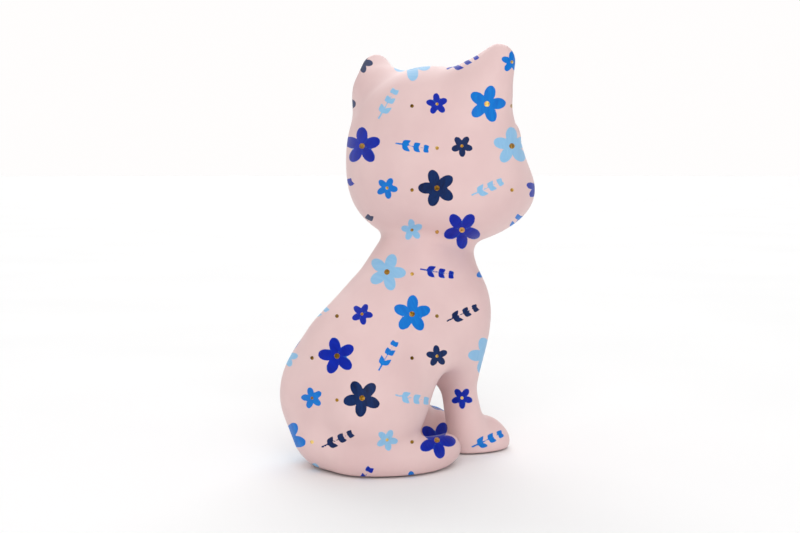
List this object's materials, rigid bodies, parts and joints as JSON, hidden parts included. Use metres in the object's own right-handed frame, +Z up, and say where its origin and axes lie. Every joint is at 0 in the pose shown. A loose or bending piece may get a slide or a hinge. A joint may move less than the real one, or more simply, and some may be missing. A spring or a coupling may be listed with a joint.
{
  "type": "ceramic cat figurine",
  "caption": "Seated big-headed kitten in satin pink ceramic, hollow cast, tail wrapped along one side, hand-painted with blue lilies and ferns and gold leaves.",
  "frame": {"origin": "middle of the figurine's box on the surface it stands on", "axes": "+Z up, the cat looks along -Y, its left is +X and its tail lies along -X"},
  "size_m": [0.1538, 0.2107, 0.304],
  "materials": {
    "painted_body": "satin glaze over hand painting",
    "nose_glaze": "gloss",
    "bare_clay": "matte unglazed",
    "felt": "felt"
  },
  "bodies": {
    "root": {"torso_shell": "painted_body", "head_shell": "painted_body", "ear_left": "painted_body", "ear_right": "painted_body", "front_leg_left": "painted_body", "front_leg_right": "painted_body", "hind_paw_left": "painted_body", "hind_paw_right": "painted_body", "tail": "painted_body", "nose": "nose_glaze", "base_disc": "bare_clay", "foot_pads": "felt"}
  },
  "joints": []
}
